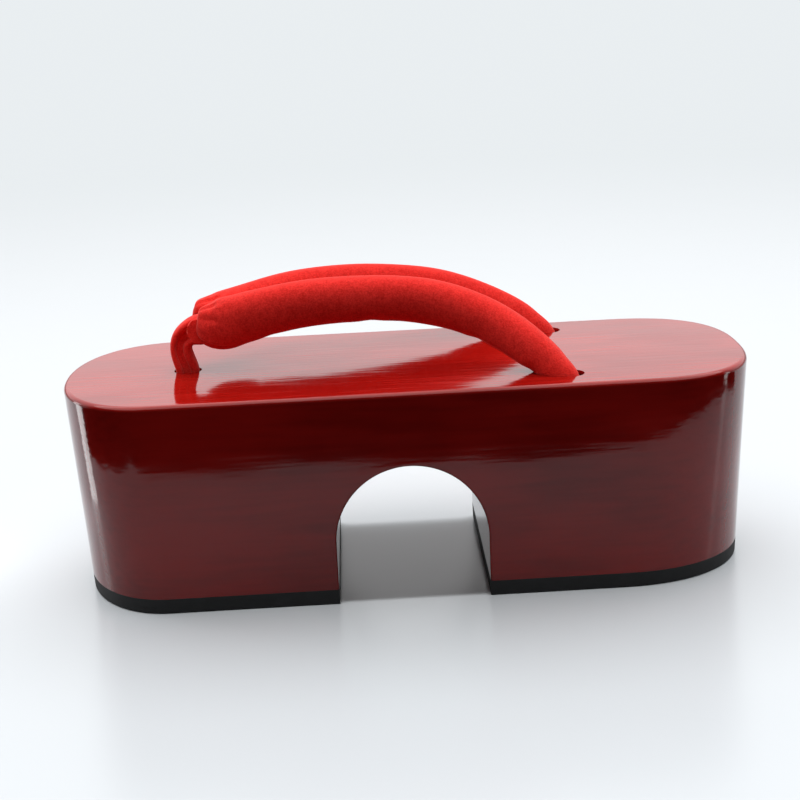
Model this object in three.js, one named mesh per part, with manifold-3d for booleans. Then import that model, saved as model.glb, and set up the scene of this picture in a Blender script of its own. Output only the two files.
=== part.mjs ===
// Geta sandal: a one-piece lacquered wooden block with an arched tunnel across its middle,
// two rubber sole pads, a padded pair of straps joined in a V, and a fabric toe loop.
// Millimetres. X runs from toe (-X) to heel (+X), Y across, Z up from the floor.
import * as THREE from 'three';
import { mergeVertices } from 'three/addons/utils/BufferGeometryUtils.js';
import Module from 'manifold-3d';

const wasm = await Module();
wasm.setup();

// Overall sizes
const LENGTH = 240;
const HEIGHT = 75;
const SOLE_THICKNESS = 5.5;
const FOREFOOT_WIDTH = 97;
const HEEL_WIDTH = 95;
const FIT_GAP = 0.3;
const WELD_DISTANCE = 1e-4;

// Taper of the block from the deck down to the floor
const TOE_DRAFT = 3.6;
const HEEL_DRAFT = 2.3;
const SIDE_DRAFT = 5.5;
const DECK_EDGE_RADIUS = 1.6;
const SOLE_EDGE_RADIUS = 0.6;

// Rounded ends in plan: length along X and roundness power, at the deck and at the floor
const TOE_END = { deckLength: 33.6, floorLength: 31, deckPower: 2.15, floorPower: 1.95 };
const HEEL_END = { deckLength: 40.5, floorLength: 46, deckPower: 2.55, floorPower: 2.1 };
const END_STEPS = 16;
const SIDE_STEPS = 3;
const EDGE_STEPS = 4;
const SOLE_EDGE_STEPS = 2;

// Arched tunnel under the waist
const ARCH_CENTRE = -0.9;
const ARCH_WIDTH = 52;
const ARCH_CROWN = 49;
const ARCH_RISE = 27;
const ARCH_MOUTH_RADIUS = 1;
const ARCH_STEPS = 32;

// Strap holes, and the recess under each that holds the tied end
const HOLE_RADIUS = 4.9;
const TAIL_RADIUS = 4.5;
const FRONT_HOLE = { x: -76.9, deckY: 0, recessY: 0 };
const REAR_HOLE = { x: 55.0, deckY: 33.4, recessY: 26.5 };
const RECESS_RADIUS = 11;
const RECESS_ROOF = 18;
const HOLE_SIDES = 24;

// The three strap holes; side is -1 for the near one of a pair and 1 for the far one
const TOE_PLACE = { hole: FRONT_HOLE, side: 1 };
const NEAR_PLACE = { hole: REAR_HOLE, side: -1 };
const FAR_PLACE = { hole: REAR_HOLE, side: 1 };

// Padded straps: a row's x and section are shared, and each strap has its own axis at that row.
// The near strap stands up and the far one has sunk outwards, as soft straps do when not worn.
// near and far are the axis: distance from the centre line and height. lean is in degrees, inwards.
const STRAP_STATIONS = [
  { x: -72.0, near: [6.2, 93.4], far: [6.2, 93.4], tall: 4.4, thick: 3.2, lean: 0 },
  { x: -71.4, near: [6.2, 93.3], far: [6.2, 93.3], tall: 8.6, thick: 6.6, lean: 0 },
  { x: -69.8, near: [6.3, 93.1], far: [6.4, 93.1], tall: 12.6, thick: 9.8, lean: 0 },
  { x: -67.0, near: [6.4, 92.6], far: [7.3, 92.4], tall: 15.8, thick: 12.4, lean: 2 },
  { x: -62.5, near: [6.6, 92.6], far: [10.0, 91.9], tall: 18.2, thick: 13.9, lean: 5 },
  { x: -53.0, near: [8.5, 95.3], far: [17.6, 93.6], tall: 17.6, thick: 13.7, lean: 10 },
  { x: -42.0, near: [10.3, 97.9], far: [25.0, 95.1], tall: 16.9, thick: 13.4, lean: 15 },
  { x: -30.0, near: [11.4, 99.5], far: [30.5, 95.8], tall: 16.5, thick: 13.2, lean: 18 },
  { x: -16.0, near: [11.7, 100.1], far: [35.5, 95.5], tall: 16.3, thick: 13.2, lean: 20 },
  { x: -2.0, near: [11.6, 99.4], far: [38.0, 94.2], tall: 16.2, thick: 13.2, lean: 20 },
  { x: 10.0, near: [12.5, 97.6], far: [38.6, 92.4], tall: 16.2, thick: 13.2, lean: 20 },
  { x: 20.0, near: [15.0, 95.0], far: [38.3, 90.1], tall: 15.4, thick: 13.2, lean: 20 },
  { x: 30.0, near: [19.4, 90.9], far: [37.4, 86.6], tall: 14.7, thick: 13.0, lean: 20 },
  { x: 38.0, near: [24.4, 86.4], far: [36.3, 83.2], tall: 13.9, thick: 12.7, lean: 18 },
  { x: 44.5, near: [28.4, 81.6], far: [35.2, 79.7], tall: 12.9, thick: 12.2, lean: 14 },
  { x: 50.0, near: [31.3, 76.9], far: [34.2, 76.1], tall: 11.0, thick: 11.0, lean: 8 },
  { x: 53.4, near: [32.9, 73.2], far: [33.4, 73.1], tall: 9.4, thick: 9.2, lean: 0 },
  { x: 55.0, near: [33.1, 69.0], far: [33.1, 69.0], tall: 8.6, thick: 8.6, lean: 0 },
];
// At the V the far strap's end lies a little ahead of the near one's, and this fades along it
const FAR_LEAD = 2.4;
const FAR_LEAD_FADE = 16;
const STRAP_POWER = 2.2;
const STRAP_SIDES = 20;
const STRAP_STEPS = 40;

// Short stitched neck that joins the two straps inside the eye of the toe loop
const NECK = { x: -71.6, z: 89.85, radius: 2.2, halfLength: 8 };
const NECK_SIDES = 16;

// Toe loop, in the centre plane: a flattened fabric tube that rises out of the front hole,
// wraps over and behind the neck, and returns to the hole beside itself.
const LOOP_STATIONS = [
  { x: -79.2, z: 70.0, thick: 3.0, wide: 5.8 },
  { x: -79.5, z: 74.5, thick: 2.8, wide: 6.6 },
  { x: -80.4, z: 78.0, thick: 2.5, wide: 7.4 },
  { x: -81.2, z: 81.5, thick: 2.3, wide: 8.0 },
  { x: -81.1, z: 85.0, thick: 2.4, wide: 8.3 },
  { x: -79.9, z: 88.3, thick: 2.6, wide: 8.4 },
  { x: -77.3, z: 91.1, thick: 2.6, wide: 8.4 },
  { x: -74.2, z: 93.0, thick: 2.6, wide: 8.4 },
  { x: -71.0, z: 93.7, thick: 2.6, wide: 8.4 },
  { x: -68.4, z: 92.3, thick: 2.6, wide: 8.4 },
  { x: -67.3, z: 89.8, thick: 2.6, wide: 8.4 },
  { x: -68.3, z: 87.1, thick: 2.6, wide: 8.4 },
  { x: -70.8, z: 85.8, thick: 2.6, wide: 8.4 },
  { x: -73.7, z: 85.9, thick: 2.7, wide: 8.4 },
  { x: -75.9, z: 84.8, thick: 3.0, wide: 8.2 },
  { x: -76.4, z: 82.3, thick: 3.2, wide: 7.8 },
  { x: -75.5, z: 79.0, thick: 3.2, wide: 7.2 },
  { x: -74.4, z: 75.2, thick: 3.0, wide: 6.4 },
  { x: -74.6, z: 70.0, thick: 3.0, wide: 5.8 },
];
const LOOP_POWER = 2.6;
const LOOP_SIDES = 12;
const LOOP_STEPS = 48;

// Inner fold of the loop's cloth, sunk between its limbs: [x, z] outline in the centre plane
const LOOP_FOLD = [
  [-79.2, 70.0], [-79.5, 74.5], [-80.4, 78.0], [-81.2, 81.5], [-81.1, 85.0], [-79.9, 88.3],
  [-77.3, 91.1], [-74.7, 92.3], [-74.3, 87.0], [-75.9, 84.8], [-76.4, 82.3], [-75.5, 79.0],
  [-74.4, 75.2], [-74.6, 70.0],
];
const LOOP_FOLD_WIDTH = 3.6;

// Tied end below a hole: drop is measured down from the roof of the recess
const KNOT_PROFILE = [
  { drop: FIT_GAP, radius: 6.2 },
  { drop: 1.2, radius: 7.6 },
  { drop: 3.6, radius: 8.5 },
  { drop: 6.4, radius: 8.3 },
  { drop: 8.8, radius: 6.8 },
  { drop: 10.2, radius: 4.2 },
  { drop: 11.2, radius: 3.5 },
  { drop: 14.0, radius: 3.3 },
  { drop: 14.8, radius: 2.4 },
];
const TAIL_TOP = 71;

const FINISHES = {
  lacquer: { color: 0x8c0d0a, roughness: 0.12, metalness: 0 },
  rubber: { color: 0x0b0c0e, roughness: 0.75, metalness: 0 },
  strapCloth: { color: 0xd3251f, roughness: 0.9, metalness: 0 },
  loopCloth: { color: 0xc5221d, roughness: 0.9, metalness: 0 },
};

// Mesh helpers

function geometryFrom(positions, triangles) {
  const geometry = new THREE.BufferGeometry();
  geometry.setAttribute('position', new THREE.Float32BufferAttribute(positions, 3));
  geometry.setIndex(triangles);
  return geometry;
}

function signedVolume(geometry) {
  const place = geometry.attributes.position;
  const index = geometry.index.array;
  const [a, b, c] = [new THREE.Vector3(), new THREE.Vector3(), new THREE.Vector3()];
  let sum = 0;
  for (let i = 0; i < index.length; i += 3) {
    a.fromBufferAttribute(place, index[i]);
    b.fromBufferAttribute(place, index[i + 1]);
    c.fromBufferAttribute(place, index[i + 2]);
    sum += a.dot(b.cross(c));
  }
  return sum / 6;
}

// Closed solid through rings with the same number of points, with a fan over each end
function loft(rings) {
  const count = rings[0].length;
  const positions = rings.flat().flatMap((p) => [p.x, p.y, p.z]);
  const triangles = [];
  for (let r = 0; r + 1 < rings.length; r += 1) {
    for (let i = 0; i < count; i += 1) {
      const a = r * count + i;
      const b = r * count + ((i + 1) % count);
      triangles.push(a, b, b + count, a, b + count, a + count);
    }
  }
  for (const [ring, start] of [[rings[0], 0], [rings.at(-1), (rings.length - 1) * count]]) {
    const centre = ring.reduce((sum, p) => sum.add(p), new THREE.Vector3()).divideScalar(count);
    const hub = positions.length / 3;
    positions.push(centre.x, centre.y, centre.z);
    for (let i = 0; i < count; i += 1) {
      const next = (i + 1) % count;
      if (start === 0) triangles.push(hub, next, i);
      else triangles.push(hub, start + i, start + next);
    }
  }
  return geometryFrom(positions, triangles);
}

// Welded solid with its faces turned outwards
function toSolid(geometry) {
  const bare = geometry.clone();
  bare.deleteAttribute('normal');
  bare.deleteAttribute('uv');
  const merged = mergeVertices(bare, WELD_DISTANCE);
  const triangles = Array.from(merged.index.array);
  if (signedVolume(merged) < 0) triangles.reverse();
  return new wasm.Manifold(new wasm.Mesh({
    numProp: 3,
    vertProperties: new Float32Array(merged.attributes.position.array),
    triVerts: new Uint32Array(triangles),
  }));
}

function toGeometry(solid) {
  const mesh = solid.getMesh();
  const positions = [];
  for (let i = 0; i < mesh.vertProperties.length; i += mesh.numProp) {
    positions.push(...mesh.vertProperties.subarray(i, i + 3));
  }
  const geometry = geometryFrom(positions, Array.from(mesh.triVerts));
  geometry.computeVertexNormals();
  return geometry;
}

function boxSolid(low, high) {
  const geometry = new THREE.BoxGeometry(high.x - low.x, high.y - low.y, high.z - low.z);
  geometry.translate((low.x + high.x) / 2, (low.y + high.y) / 2, (low.z + high.z) / 2);
  return toSolid(geometry);
}

// Rod between two points, made by extruding a round section along the line
function rodSolid(from, to, radius, sides) {
  const section = new THREE.Shape();
  for (let i = 0; i < sides; i += 1) {
    const turn = (2 * Math.PI * i) / sides;
    const point = [radius * Math.cos(turn), radius * Math.sin(turn)];
    if (i === 0) section.moveTo(...point);
    else section.lineTo(...point);
  }
  const extrudePath = new THREE.LineCurve3(from, to);
  const settings = { steps: 1, extrudePath, bevelEnabled: false };
  return toSolid(new THREE.ExtrudeGeometry(section, settings));
}

function superellipse(turn, halfWidth, halfHeight, power) {
  const round = (value) => Math.sign(value) * Math.abs(value) ** (2 / power);
  return [halfWidth * round(Math.cos(turn)), halfHeight * round(Math.sin(turn))];
}

// Wooden block

const mix = (atDeck, atFloor, drop) => atDeck + (atFloor - atDeck) * drop;
// Share of the way down from the widest line, just under the deck's rounded edge, to the floor
const WIDEST_HEIGHT = HEIGHT - DECK_EDGE_RADIUS;
const dropBelowDeck = (z) => Math.max(0, (WIDEST_HEIGHT - z) / WIDEST_HEIGHT);

// Half width of the flat side wall at a place along the block and a height
function sideWall(x, z) {
  const along = x / LENGTH + 0.5;
  const half = (FOREFOOT_WIDTH + (HEEL_WIDTH - FOREFOOT_WIDTH) * along) / 2;
  return half - SIDE_DRAFT * dropBelowDeck(z);
}

// Plan outline at a height, drawn in all round by inset
function planOutline(z, inset) {
  const drop = dropBelowDeck(z);
  const ends = [
    { end: TOE_END, tip: -LENGTH / 2 + TOE_DRAFT * drop + inset, towards: 1 },
    { end: HEEL_END, tip: LENGTH / 2 - HEEL_DRAFT * drop - inset, towards: -1 },
  ];
  const quarters = ends.map(({ end, tip, towards }) => {
    const length = mix(end.deckLength, end.floorLength, drop);
    const power = mix(end.deckPower, end.floorPower, drop);
    const root = tip + towards * length;
    const width = sideWall(root, z) - inset;
    return Array.from({ length: END_STEPS + 1 }, (_, i) => {
      const [along, across] = superellipse((Math.PI / 2) * (i / END_STEPS), length, width, power);
      return { x: root - towards * along, y: across };
    });
  });
  const half = [...quarters[0]];
  const from = quarters[0].at(-1);
  const to = quarters[1].at(-1);
  for (let i = 1; i < SIDE_STEPS; i += 1) {
    const x = from.x + (to.x - from.x) * (i / SIDE_STEPS);
    half.push({ x, y: sideWall(x, z) - inset });
  }
  half.push(...quarters[1].reverse());
  const mirrored = half.slice(1, -1).reverse().map((p) => ({ x: p.x, y: -p.y }));
  return [...half, ...mirrored].map((p) => new THREE.Vector3(p.x, p.y, z));
}

function blockSolid() {
  const rings = [planOutline(SOLE_THICKNESS, 0)];
  for (let i = 0; i <= EDGE_STEPS; i += 1) {
    const turn = (Math.PI / 2) * (i / EDGE_STEPS);
    const z = HEIGHT - DECK_EDGE_RADIUS * (1 - Math.sin(turn));
    rings.push(planOutline(z, DECK_EDGE_RADIUS * (1 - Math.cos(turn))));
  }
  return toSolid(loft(rings));
}

// Cross-section of the tunnel, grown all round by grow, as [x, z] pairs from toe side to heel side
function archSection(grow) {
  const springing = ARCH_CROWN - ARCH_RISE;
  const halfWidth = ARCH_WIDTH / 2 + grow;
  const points = [[ARCH_CENTRE - halfWidth, -1]];
  for (let i = 0; i <= ARCH_STEPS; i += 1) {
    const turn = Math.PI * (1 - i / ARCH_STEPS);
    const [x, z] = superellipse(turn, halfWidth, ARCH_RISE + grow, 2);
    points.push([ARCH_CENTRE + x, springing + z]);
  }
  points.push([ARCH_CENTRE + halfWidth, -1]);
  return points;
}

// Tunnel right through the block, with both mouths rounded to follow the sloping side walls
function tunnelSolid() {
  const outside = 6;
  const near = [archSection(ARCH_MOUTH_RADIUS).map(([x, z]) => [x, sideWall(x, z) + outside, z])];
  for (let i = 0; i <= EDGE_STEPS; i += 1) {
    const turn = (Math.PI / 2) * (i / EDGE_STEPS);
    const grow = ARCH_MOUTH_RADIUS * (1 - Math.sin(turn));
    const depth = ARCH_MOUTH_RADIUS * (1 - Math.cos(turn));
    near.push(archSection(grow).map(([x, z]) => [x, sideWall(x, z) - depth, z]));
  }
  const nearRings = near.map((ring) => ring.map(([x, y, z]) => new THREE.Vector3(x, -y, z)));
  const farRings = near.map((ring) => ring.map(([x, y, z]) => new THREE.Vector3(x, y, z)));
  return toSolid(loft([...nearRings, ...farRings.reverse()]));
}

// Where a hole's axis meets the deck and the recess roof, and its direction downwards
function holeAxis({ hole, side }) {
  const deck = new THREE.Vector3(hole.x, side * hole.deckY, HEIGHT);
  const roof = new THREE.Vector3(hole.x, side * hole.recessY, RECESS_ROOF);
  return { deck, roof, down: roof.clone().sub(deck).normalize() };
}

// Rod down a hole's axis that passes the deck and the recess roof by one millimetre each
function shaftSolid(place, radius) {
  const { deck, roof, down } = holeAxis(place);
  return rodSolid(roof.add(down), deck.sub(down), radius, HOLE_SIDES);
}

// Strap hole with the recess below it on the same axis
function holeSolid(place) {
  const { roof, down } = holeAxis(place);
  const mouth = roof.clone().addScaledVector(down, RECESS_ROOF + RECESS_RADIUS);
  return shaftSolid(place, HOLE_RADIUS).add(rodSolid(mouth, roof, RECESS_RADIUS, HOLE_SIDES));
}

// One rubber pad under the front or the rear foot of the block
function soleSolid(fromX, toX) {
  const rings = [];
  for (let i = 0; i <= SOLE_EDGE_STEPS; i += 1) {
    const turn = (Math.PI / 2) * (i / SOLE_EDGE_STEPS);
    const inset = SOLE_EDGE_RADIUS * (1 - Math.sin(turn));
    rings.push(planOutline(SOLE_EDGE_RADIUS * (1 - Math.cos(turn)), inset));
  }
  rings.push(planOutline(SOLE_THICKNESS, 0));
  const low = { x: fromX, y: -LENGTH, z: -1 };
  const high = { x: toX, y: LENGTH, z: SOLE_THICKNESS + 1 };
  return toSolid(loft(rings)).intersect(boxSolid(low, high)).subtract(holes);
}

// Straps, neck, toe loop and tied ends

// Tube of changing section along a table of stations.
// place gives a station's centre, and size its [half height, half thickness, lean].
function tubeRings({ stations, place, size, steps, sides, power }) {
  const path = new THREE.CatmullRomCurve3(stations.map(place), false, 'centripetal');
  const sizes = new THREE.CatmullRomCurve3(
    stations.map((s) => new THREE.Vector3(...size(s))), false, 'centripetal');
  const across = new THREE.Vector3(0, 1, 0);
  return Array.from({ length: steps + 1 }, (_, i) => {
    const t = i / steps;
    const centre = path.getPoint(t);
    const tangent = path.getTangent(t);
    const [halfTall, halfThick, lean] = sizes.getPoint(t).toArray();
    const side = across.clone().addScaledVector(tangent, -across.dot(tangent)).normalize();
    const up = new THREE.Vector3().crossVectors(tangent, side).normalize().negate();
    side.applyAxisAngle(tangent, lean);
    up.applyAxisAngle(tangent, lean);
    return Array.from({ length: sides }, (__, j) => {
      const [u, v] = superellipse((2 * Math.PI * j) / sides, halfThick, halfTall, power);
      return centre.clone().addScaledVector(side, u).addScaledVector(up, v);
    });
  });
}

// Axis of the near strap (side -1) or the far strap (side 1) at a station of the table
function strapPlace(station, side) {
  const fromTip = station.x - STRAP_STATIONS[0].x;
  const lead = side > 0 ? FAR_LEAD * Math.max(0, 1 - fromTip / FAR_LEAD_FADE) : 0;
  const [spread, height] = side > 0 ? station.far : station.near;
  return new THREE.Vector3(station.x - lead, side * spread, height);
}

function strapSolid(side) {
  return toSolid(loft(tubeRings({
    stations: STRAP_STATIONS,
    place: (s) => strapPlace(s, side),
    size: (s) => [s.tall / 2, s.thick / 2, -side * THREE.MathUtils.degToRad(s.lean)],
    steps: STRAP_STEPS,
    sides: STRAP_SIDES,
    power: STRAP_POWER,
  })));
}

// The loop is lofted in two halves, so that neither half crosses itself inside the hole
function loopSolid(grow) {
  const rings = tubeRings({
    stations: LOOP_STATIONS,
    place: (s) => new THREE.Vector3(s.x, 0, s.z),
    size: (s) => [s.thick / 2 + grow, s.wide / 2 + grow, 0],
    steps: LOOP_STEPS,
    sides: LOOP_SIDES,
    power: LOOP_POWER,
  });
  const middle = Math.round(LOOP_STEPS / 2);
  const front = toSolid(loft(rings.slice(0, middle + 1)));
  const back = toSolid(loft(rings.slice(middle)));
  return front.add(back);
}

// Fold of cloth that closes the space between the loop's limbs
function foldSolid() {
  const outline = new THREE.Shape(LOOP_FOLD.map(([x, z]) => new THREE.Vector2(x, z)));
  const settings = { depth: LOOP_FOLD_WIDTH, bevelEnabled: false };
  const geometry = new THREE.ExtrudeGeometry(outline, settings);
  geometry.rotateX(Math.PI / 2);
  geometry.translate(0, LOOP_FOLD_WIDTH / 2, 0);
  return toSolid(geometry);
}

// Tail down a hole with its tied end in the recess, turned about the hole's own axis
function tailSolid(place) {
  const { roof, down } = holeAxis(place);
  const rise = (TAIL_TOP - RECESS_ROOF) / -down.z;
  const profile = [
    new THREE.Vector2(0, -rise),
    new THREE.Vector2(TAIL_RADIUS, -rise),
    new THREE.Vector2(TAIL_RADIUS, FIT_GAP),
    ...KNOT_PROFILE.map((p) => new THREE.Vector2(p.radius, p.drop)),
    new THREE.Vector2(0, KNOT_PROFILE.at(-1).drop),
  ];
  const turn = new THREE.Quaternion().setFromUnitVectors(new THREE.Vector3(0, 1, 0), down);
  const geometry = new THREE.LatheGeometry(profile, HOLE_SIDES);
  geometry.applyQuaternion(turn);
  geometry.translate(roof.x, roof.y, roof.z);
  return toSolid(geometry);
}

// Everything that cloth may not enter: the deck and the wood below it, except inside the holes
function deckKeepOut() {
  const low = { x: -LENGTH, y: -LENGTH, z: RECESS_ROOF };
  const high = { x: LENGTH, y: LENGTH, z: HEIGHT + FIT_GAP };
  const shafts = [TOE_PLACE, NEAR_PLACE, FAR_PLACE].map((place) => (
    shaftSolid(place, HOLE_RADIUS - FIT_GAP)));
  return shafts.reduce((slab, shaft) => slab.subtract(shaft), boxSolid(low, high));
}

const holes = holeSolid(TOE_PLACE).add(holeSolid(NEAR_PLACE)).add(holeSolid(FAR_PLACE));
const block = blockSolid().subtract(tunnelSolid()).subtract(holes);
const frontSole = soleSolid(-LENGTH, ARCH_CENTRE - ARCH_WIDTH / 2);
const rearSole = soleSolid(ARCH_CENTRE + ARCH_WIDTH / 2, LENGTH);

const keepOut = deckKeepOut();
const neck = rodSolid(
  new THREE.Vector3(NECK.x, -NECK.halfLength, NECK.z),
  new THREE.Vector3(NECK.x, NECK.halfLength, NECK.z),
  NECK.radius, NECK_SIDES);
const straps = strapSolid(-1).add(strapSolid(1)).subtract(loopSolid(FIT_GAP)).add(neck)
  .subtract(keepOut).add(tailSolid(NEAR_PLACE)).add(tailSolid(FAR_PLACE));
const toeLoop = loopSolid(0).add(foldSolid()).subtract(keepOut).add(tailSolid(TOE_PLACE));

const group = new THREE.Group();
const pieces = [
  ['wooden_block', block, FINISHES.lacquer],
  ['front_sole', frontSole, FINISHES.rubber],
  ['rear_sole', rearSole, FINISHES.rubber],
  ['strap_upper', straps, FINISHES.strapCloth],
  ['toe_loop', toeLoop, FINISHES.loopCloth],
];
for (const [name, solid, finish] of pieces) {
  const mesh = new THREE.Mesh(toGeometry(solid), new THREE.MeshStandardMaterial(finish));
  mesh.name = name;
  group.add(mesh);
}

export default group;
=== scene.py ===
import logging
import math
from dataclasses import dataclass, field
from enum import Enum

import bpy
import numpy as np
from mathutils import Matrix, Vector


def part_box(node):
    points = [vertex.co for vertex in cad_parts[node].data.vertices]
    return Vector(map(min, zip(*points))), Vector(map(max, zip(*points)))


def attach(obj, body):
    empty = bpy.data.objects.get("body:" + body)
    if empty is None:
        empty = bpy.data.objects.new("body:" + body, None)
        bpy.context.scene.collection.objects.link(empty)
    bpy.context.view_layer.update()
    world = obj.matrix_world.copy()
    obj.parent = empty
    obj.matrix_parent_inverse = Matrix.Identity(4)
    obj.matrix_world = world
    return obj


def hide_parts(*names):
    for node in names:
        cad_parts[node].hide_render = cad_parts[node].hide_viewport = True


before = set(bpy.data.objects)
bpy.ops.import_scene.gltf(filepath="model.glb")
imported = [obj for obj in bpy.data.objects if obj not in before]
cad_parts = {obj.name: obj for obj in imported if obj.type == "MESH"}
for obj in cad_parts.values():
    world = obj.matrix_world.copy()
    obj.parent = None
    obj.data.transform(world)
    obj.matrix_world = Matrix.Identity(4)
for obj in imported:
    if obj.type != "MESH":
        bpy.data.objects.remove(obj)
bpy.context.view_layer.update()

LOG = logging.getLogger("geta")
MM = 0.001
Table = list[tuple[float, ...]]


# Shader expressions


class Value:
    """A number that varies over a surface, so that arithmetic on it adds Math nodes."""

    def __init__(self, graph: "Graph", socket: bpy.types.NodeSocket) -> None:
        """Wraps an output socket of a graph."""
        self.graph = graph
        self.socket = socket

    def math(self, operation: str, *operands: "Value | float") -> "Value":
        """Adds one Math node, with its inputs as values or numbers."""
        inputs = dict(enumerate(operands))
        return self.graph.value("ShaderNodeMath", {"operation": operation}, inputs)

    def __add__(self, other: "Value | float") -> "Value":
        """Sum."""
        return self.math("ADD", self, other)

    def __radd__(self, other: float) -> "Value":
        """Sum with the number first."""
        return self.math("ADD", other, self)

    def __sub__(self, other: "Value | float") -> "Value":
        """Difference."""
        return self.math("SUBTRACT", self, other)

    def __rsub__(self, other: float) -> "Value":
        """Difference with the number first."""
        return self.math("SUBTRACT", other, self)

    def __mul__(self, other: "Value | float") -> "Value":
        """Product."""
        return self.math("MULTIPLY", self, other)

    def __rmul__(self, other: float) -> "Value":
        """Product with the number first."""
        return self.math("MULTIPLY", other, self)

    def clamped(self, low: float = 0.0, high: float = 1.0) -> "Value":
        """The value held between two numbers."""
        return self.math("MINIMUM", self.math("MAXIMUM", self, low), high)

    def step(self, start: float, end: float) -> "Value":
        """A smooth rise from 0 at start to 1 at end, which may be less than start."""
        share = ((self - start) * (1 / (end - start))).clamped()
        return share * share * (3 - 2 * share)


class Graph:
    """The node tree of one material or of the world."""

    def __init__(self, tree: bpy.types.NodeTree) -> None:
        """Empties a node tree and takes it over."""
        self.tree = tree
        tree.nodes.clear()

    def add(
        self,
        kind: str,
        settings: dict[str, object] | None = None,
        inputs: dict[int | str, object] | None = None,
    ) -> bpy.types.Node:
        """Adds one node.

        Args:
            kind: The node's Blender type.
            settings: The node's own settings, which are set first.
            inputs: Values or links of its sockets, by name or number.

        Returns:
            The node.
        """
        node = self.tree.nodes.new(kind)
        for name, value in (settings or {}).items():
            setattr(node, name, value)
        for key, value in (inputs or {}).items():
            self.feed(node.inputs[key], value)
        return node

    def feed(self, socket: bpy.types.NodeSocket, value: object) -> None:
        """Links or sets one input socket.

        Args:
            socket: The input socket.
            value: A value, an output socket, a number or a tuple.
        """
        if isinstance(value, Value):
            self.tree.links.new(value.socket, socket)
        elif isinstance(value, bpy.types.NodeSocket):
            self.tree.links.new(value, socket)
        elif isinstance(value, tuple) and socket.type == "RGBA" and len(value) == 3:
            socket.default_value = (*value, 1.0)
        else:
            socket.default_value = value

    def value(
        self,
        kind: str,
        settings: dict[str, object] | None = None,
        inputs: dict[int | str, object] | None = None,
        output: int | str = 0,
    ) -> Value:
        """Adds one node and wraps one of its outputs, by name or number."""
        return Value(self, self.add(kind, settings, inputs).outputs[output])

    def place(self, stretch: tuple[float, float, float] = (1, 1, 1)) -> bpy.types.NodeSocket:
        """The point on the surface in the object's own frame.

        Args:
            stretch: Factors on X, Y and Z, so that a pattern runs long one way.

        Returns:
            The point's socket.
        """
        point = self.add("ShaderNodeTexCoord").outputs["Object"]
        settings = {"operation": "MULTIPLY"}
        return self.add("ShaderNodeVectorMath", settings, {0: point, 1: stretch}).outputs[0]

    def height_mm(self) -> Value:
        """Height above the floor in millimetres."""
        return self.value("ShaderNodeSeparateXYZ", None, {0: self.place()}, 2) * (1 / MM)

    def noise(
        self, size_mm: float, detail: float = 2.0, stretch: tuple[float, float, float] = (1, 1, 1)
    ) -> Value:
        """Smooth noise around 0.5, of blobs of a size, with finer layers and a stretch."""
        inputs = {"Vector": self.place(stretch), "Scale": 1 / (size_mm * MM), "Detail": detail}
        return self.value("ShaderNodeTexNoise", {"noise_dimensions": "3D"}, inputs)

    def mix(self, share: Value, first: object, second: object) -> bpy.types.NodeSocket:
        """A colour between two others.

        Args:
            share: 0 for the first and 1 for the second.
            first: A colour, as a tuple or a socket.
            second: A colour, as a tuple or a socket.

        Returns:
            The mixed colour's socket.
        """
        node = self.add("ShaderNodeMix", {"data_type": "RGBA"})
        self.feed(node.inputs[0], share)
        self.feed(node.inputs[6], first)
        self.feed(node.inputs[7], second)
        return node.outputs[2]

    def bump(self, height: Value, depth_mm: float) -> bpy.types.NodeSocket:
        """The normal bent by a height from 0 to 1, whose real depth is given."""
        inputs = {"Strength": 1.0, "Distance": depth_mm * MM, "Height": height}
        return self.add("ShaderNodeBump", None, inputs).outputs[0]


def new_material(name: str) -> tuple[bpy.types.Material, Graph]:
    """An empty material with its graph.

    Args:
        name: The material's name.

    Returns:
        The material and its graph.
    """
    material = bpy.data.materials.new(name)
    material.use_nodes = True
    return material, Graph(material.node_tree)


def surface(graph: Graph, inputs: dict[int | str, object]) -> None:
    """Ends a material's graph with a Principled shader of these inputs."""
    shader = graph.add("ShaderNodeBsdfPrincipled", None, inputs)
    graph.add("ShaderNodeOutputMaterial", None, {"Surface": shader.outputs[0]})


# Finishes


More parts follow.
